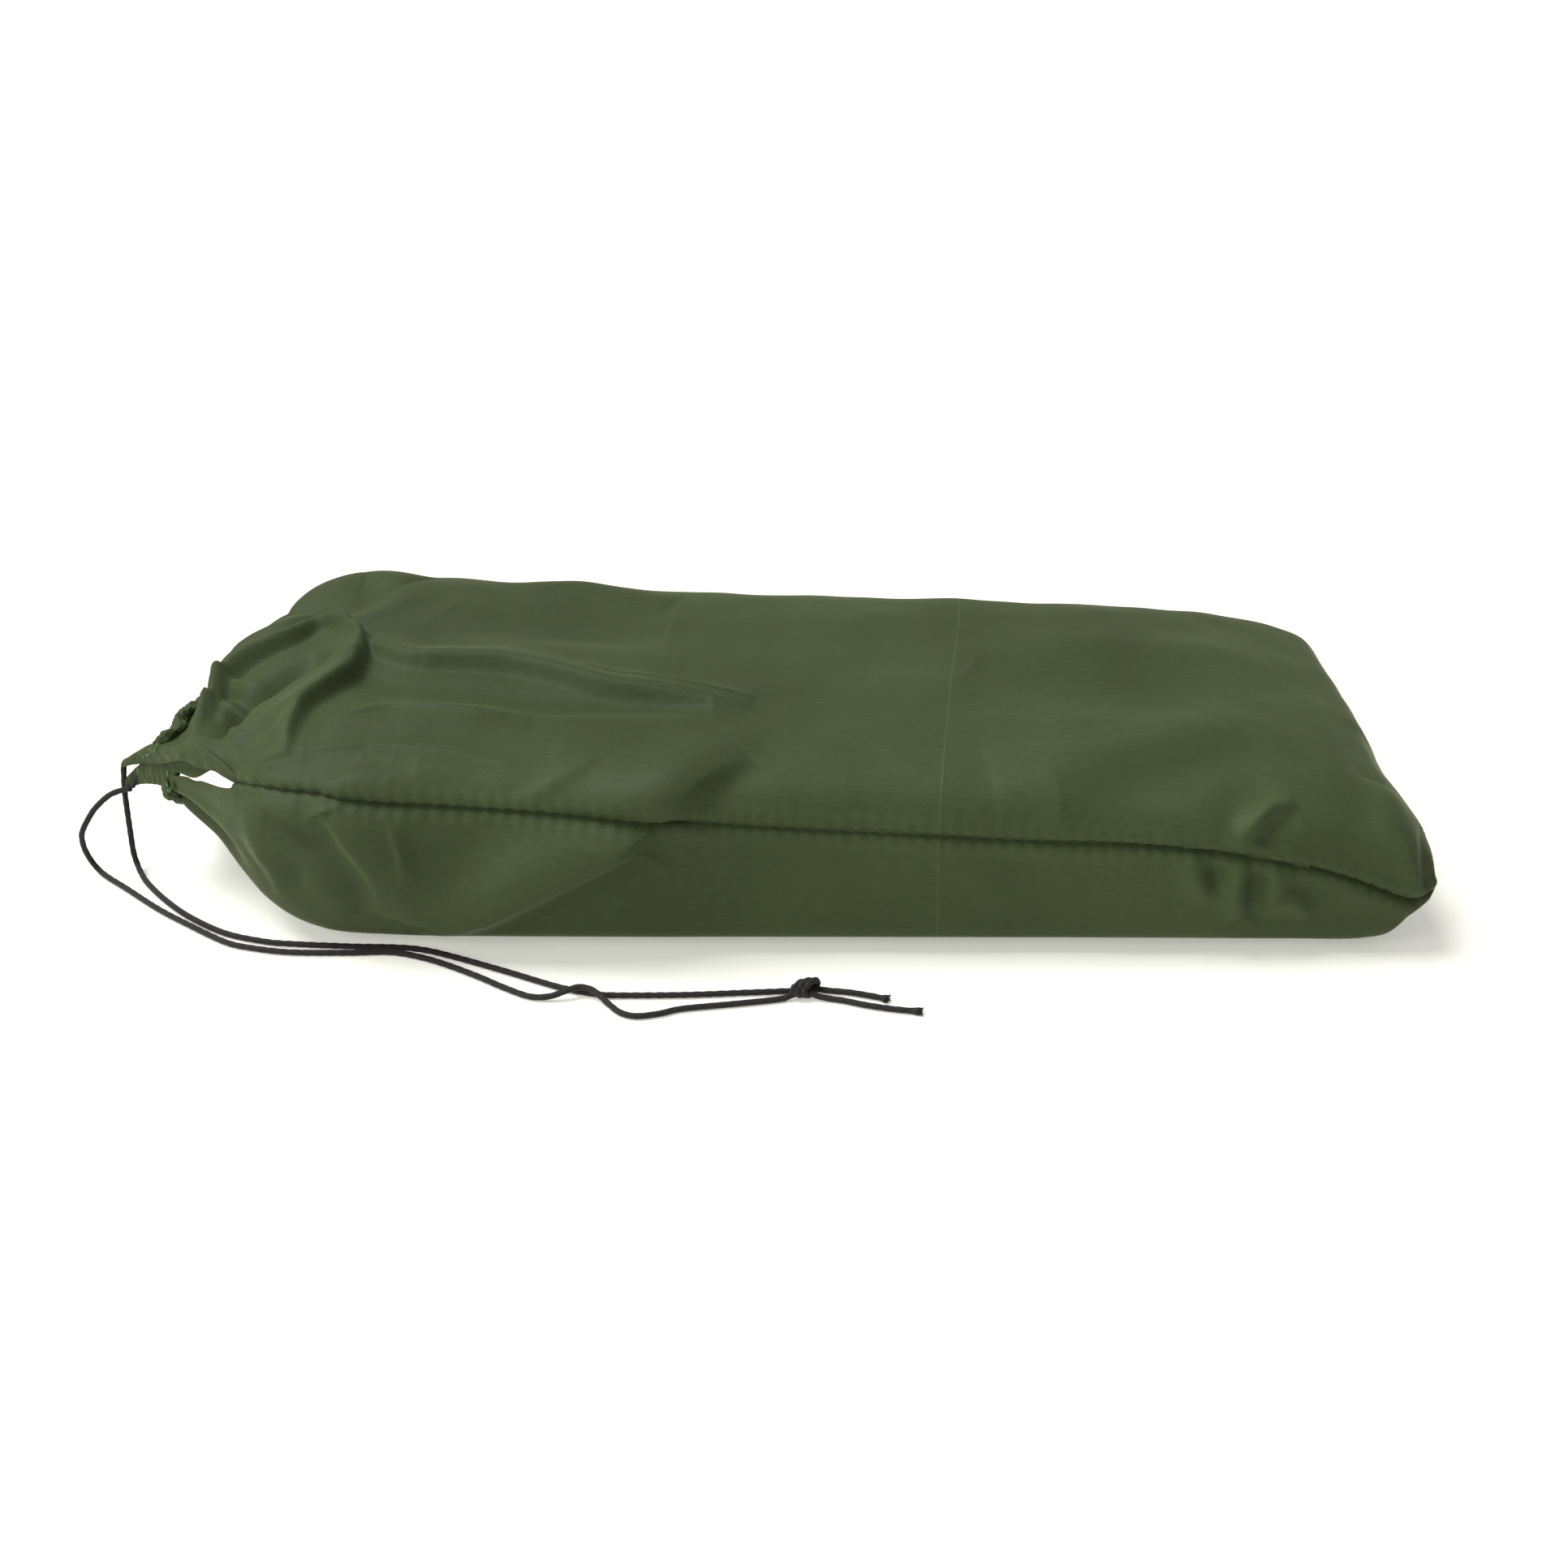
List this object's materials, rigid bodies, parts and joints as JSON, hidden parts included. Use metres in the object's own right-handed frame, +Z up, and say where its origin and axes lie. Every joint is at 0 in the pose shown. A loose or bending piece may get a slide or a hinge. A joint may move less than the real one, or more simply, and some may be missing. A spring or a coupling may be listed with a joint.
{
  "type": "bivy sack",
  "caption": "Packed bivy sack: folded bivy bag held inside its gathered drawstring storage sack, with a knotted drawcord.",
  "frame": {"origin": "middle of the packed sack's footprint, on the surface it lies on, the free drawcord left out", "axes": "+X along the sack from the gathered mouth to the bottom end, +Y away from the side with the seam, +Z up"},
  "size_m": [0.4971, 0.2384, 0.0781],
  "materials": {
    "olive_taffeta": "thin coated taffeta with a soft sheen",
    "ground_sheet_fabric": "coated, slightly glossy",
    "top_sheet_fabric": "matte breathable laminate",
    "green_thread": "polyester sewing thread",
    "braided_cord": "braided, matte",
    "lock_plastic": "moulded, satin",
    "spring_steel": "bright wire"
  },
  "bodies": {
    "sack": {"sack_shell": "olive_taffeta", "front_seam_allowance": "olive_taffeta", "front_seam_thread": "green_thread", "end_seam_allowance": "olive_taffeta", "mouth_casing": "olive_taffeta", "casing_thread": "green_thread", "drawcord_in_casing": "braided_cord", "drawcord_strand_a": "braided_cord", "drawcord_strand_b": "braided_cord", "drawcord_knot": "braided_cord", "drawcord_tail_a": "braided_cord", "drawcord_tail_b": "braided_cord", "bivy_ground_sheet": "ground_sheet_fabric", "bivy_top_sheet": "top_sheet_fabric", "bivy_hood": "top_sheet_fabric", "hood_drawcord": "braided_cord", "hood_cord_knot": "braided_cord"},
    "cord_lock": {"cord_lock_barrel": "lock_plastic", "cord_lock_spring": "spring_steel"},
    "lock_plunger": {"cord_lock_plunger": "lock_plastic"}
  },
  "joints": [
    {"name": "cord_lock_slide", "type": "slide", "parent": "sack", "child": "cord_lock", "axis": [1, 0, 0], "range_m": [-0.006, 0.015]},
    {"name": "cord_lock_press", "type": "slide", "parent": "cord_lock", "child": "lock_plunger", "axis": [0, 1, 0], "range_m": [0, 0.004], "stiffness_N_per_m": 300, "springref_m": -0.004, "deforming": ["cord_lock_spring"]}
  ]
}
